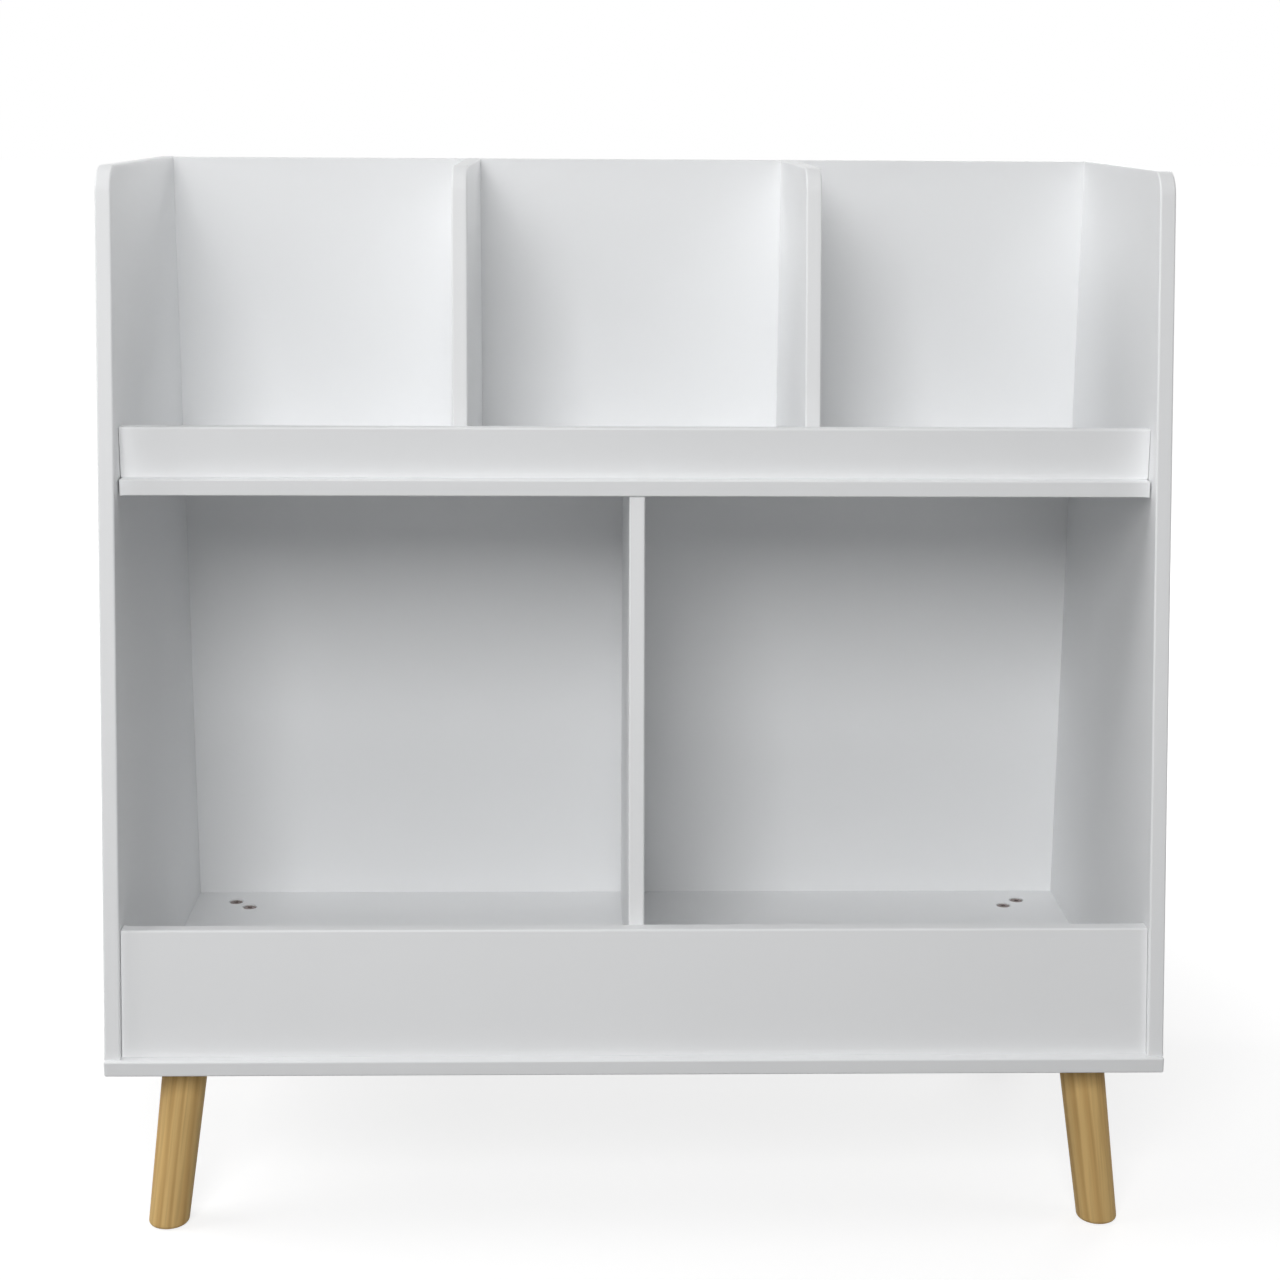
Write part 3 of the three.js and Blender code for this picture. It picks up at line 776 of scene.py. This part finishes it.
for node in leg_bolts:
    place, head, length = seat(node, UP, BOLT_SINK)
    bolt_profile = [(BOLT_SHANK, -length), (BOLT_SHANK, -BOLT_CONE), (head, -BOLT_RIM),
                    (head, -BOLT_RIM / 2), (head - BOLT_RIM / 2, 0)]
    patches = turned_patches(place, UP, bolt_profile, hexagon(HEX_FLATS), HEX_DEPTH, HEX_DRAFT)
    make_piece(f"bronzed_{node}", patches, bronzed_steel, node)
print("leg bolts:", len(leg_bolts))

# %% Wood screws
SCREW_SHANK = 2.0 * MM
SCREW_TIP = 6 * MM
SCREW_TIP_RADIUS = 0.3 * MM
SCREW_RIM = 0.4 * MM
SCREW_CONE = 3.0 * MM
HEAD_SINK = 0.3 * MM
CROSS_LENGTH = 4.6 * MM
CROSS_WIDTH = 1.1 * MM
CROSS_DEPTH = 1.6 * MM
CROSS_DRAFT = 0.55

for node in sorted(case_screws + shelf_screws):
    place, head, length = seat(node, DOWN, HEAD_SINK)
    tip = [(SCREW_TIP_RADIUS, -length), (SCREW_SHANK, SCREW_TIP - length)]
    screw_profile = tip + [(SCREW_SHANK, -SCREW_CONE), (head, -SCREW_RIM),
                           (head, -SCREW_RIM / 2), (head - SCREW_RIM / 2, 0)]
    recess = cross(CROSS_LENGTH, CROSS_WIDTH)
    patches = turned_patches(place, DOWN, screw_profile, recess, CROSS_DEPTH, CROSS_DRAFT)
    make_piece(f"plated_{node}", patches, zinc_plate, node)
print("screws:", len(case_screws + shelf_screws))

# %% Cams
CAM_CROSS_LENGTH = 6.4 * MM
CAM_CROSS_WIDTH = 1.6 * MM
CAM_RIM = 0.5 * MM

for node in cams:
    place, disc, depth = seat(node, DOWN, HEAD_SINK)
    cam_profile = [(disc - CAM_RIM, -depth), (disc, CAM_RIM - depth), (disc, -CAM_RIM), (disc - CAM_RIM, 0)]
    recess = cross(CAM_CROSS_LENGTH, CAM_CROSS_WIDTH)
    patches = turned_patches(place, DOWN, cam_profile, recess, CROSS_DEPTH, CROSS_DRAFT)
    make_piece(f"plated_{node}", patches, zinc_plate, node)
print("cams:", len(cams))

# %% [markdown]
# ## Hidden fittings
# Inserts, cam bolts and dowels are closed inside the boards. Their plain shapes stay as they are, and each
# gets the finish of what it is made of, for anyone who takes the case apart.

# %% Hidden fittings
for ending, finish in (("_insert", plain_brass), ("_cam_bolt", zinc_plate), ("_dowel", bare_beech)):
    hidden = [node for name, node in frame["nodes"].items() if name.endswith(ending)]
    for node in hidden:
        node.data.materials.clear()
        node.data.materials.append(finish)
    print(ending, len(hidden), finish.name)

# %% [markdown]
# ## Floor and white background
# The case stands on a pale floor in front of nothing but white. Lamps that were strong enough to make the
# floor pure white would burn out the white boards, so the floor adds white only for rays from the camera and
# for reflections. Close to the case it adds less, so the soft shadow stays. From below it is see-through.

# %% Floor
FLOOR_REACH = 30
FLOOR_DROP = 0.2 * MM

floor_corners = np.array([[-1, -1, 0], [1, -1, 0], [1, 1, 0], [-1, 1, 0]]) * FLOOR_REACH
floor_mesh = bpy.data.meshes.new("floor")
floor_mesh.from_pydata(floor_corners - [0, 0, FLOOR_DROP], [], [(0, 1, 2, 3)])
floor = bpy.data.objects.new("floor", floor_mesh)
bpy.context.scene.collection.objects.link(floor)
print("floor, metres across:", 2 * FLOOR_REACH)

# %% Floor paper
FLOOR_COLOUR = "#A4A4A4"
SHADOW_NEAR = 0.45
SHADOW_FAR = 1.3
NEAR_WHITE = 0.76


def seen_directly(tree):
    """One for rays from the camera, for reflections and for rays through clear things, else nought."""
    rays = add_node(tree, "LightPath").outputs
    seen = maths(tree, "MAXIMUM", rays["Is Camera Ray"], rays["Is Glossy Ray"])
    return maths(tree, "MAXIMUM", seen, rays["Is Transmission Ray"])


floor_paper = bpy.data.materials.new("pale studio paper")
floor_paper.use_nodes = True
tree = floor_paper.node_tree
tree.nodes.clear()
place = add_node(tree, "TexCoord").outputs["Object"]
away = add_node(tree, "VectorMath", {"operation": "LENGTH"}, {0: place}).outputs["Value"]
white = add_node(tree, "MapRange", {"interpolation_type": "SMOOTHSTEP"},
                 {"Value": away, "From Min": SHADOW_NEAR, "From Max": SHADOW_FAR,
                  "To Min": NEAR_WHITE, "To Max": 1.0}).outputs[0]
strength = maths(tree, "MULTIPLY", seen_directly(tree), white)
matt = add_node(tree, "BsdfDiffuse", inputs={"Color": linear(FLOOR_COLOUR)})
glow = add_node(tree, "Emission", inputs={"Strength": strength})
both = add_node(tree, "AddShader", inputs={0: matt.outputs[0], 1: glow.outputs[0]})
under = add_node(tree, "NewGeometry").outputs["Backfacing"]
clear = add_node(tree, "BsdfTransparent")
shown = add_node(tree, "MixShader", inputs={0: under, 1: both.outputs[0], 2: clear.outputs[0]})
add_node(tree, "OutputMaterial", inputs={"Surface": shown.outputs[0]})
floor_mesh.materials.append(floor_paper)
print("finish:", floor_paper.name)

# %% [markdown]
# ## Light
# Five soft boxes stand round the case at the same distance, so a turn and a rise in degrees place each one.
# The one in front, about thirty degrees up, shines into the bins under the shelf. The one on the left makes
# the bays brighter on their right and gives the legs a shaded side. Weak ones on the right and above soften
# that, and one behind lights the back. The white surroundings show to the camera and in reflections, and
# give hardly any light of their own.

# %% Lamps
LAMPS = {
    "front_box": {"turn": -10, "rise": 29, "size": 1.2, "power": 46},
    "left_box": {"turn": -88, "rise": 36, "size": 1.8, "power": 42},
    "right_box": {"turn": 81, "rise": 26, "size": 1.2, "power": 9},
    "top_box": {"turn": 0, "rise": 86, "size": 1.2, "power": 3},
    "rear_box": {"turn": 152, "rise": 25, "size": 1.4, "power": 25},
}
LAMP_REACH = 3
AIM = Vector((0, 0, 0.42))

for name, lamp in LAMPS.items():
    lamp_data = bpy.data.lights.new(name, "AREA")
    lamp_data.size = lamp["size"]
    lamp_data.energy = lamp["power"]
    lamp_object = bpy.data.objects.new(name, lamp_data)
    bpy.context.scene.collection.objects.link(lamp_object)
    aside = Matrix.Rotation(radians(lamp["turn"]), 3, "Z")
    up = Matrix.Rotation(-radians(lamp["rise"]), 3, "X")
    lamp_object.location = AIM + aside @ up @ Vector((0, -LAMP_REACH, 0))
    lamp_object.rotation_mode = "QUATERNION"
    lamp_object.rotation_quaternion = (AIM - lamp_object.location).to_track_quat("-Z", "Y")
    print("lamp:", name, "at", [round(value, 2) for value in lamp_object.location])

# %% Surroundings
SURROUND = 0.02
SURROUND_COLOUR = "#FFFFFF"

world = bpy.data.worlds.new("white studio")
world.use_nodes = True
bpy.context.scene.world = world
tree = world.node_tree
tree.nodes.clear()
strength = spread(tree, seen_directly(tree), (SURROUND, 1))
surround = add_node(tree, "Background", inputs={"Color": linear(SURROUND_COLOUR), "Strength": strength})
add_node(tree, "OutputWorld", inputs={"Surface": surround.outputs[0]})
print("surroundings:", world.name)

# %% [markdown]

# %% End of the scene
print("end of the scene")
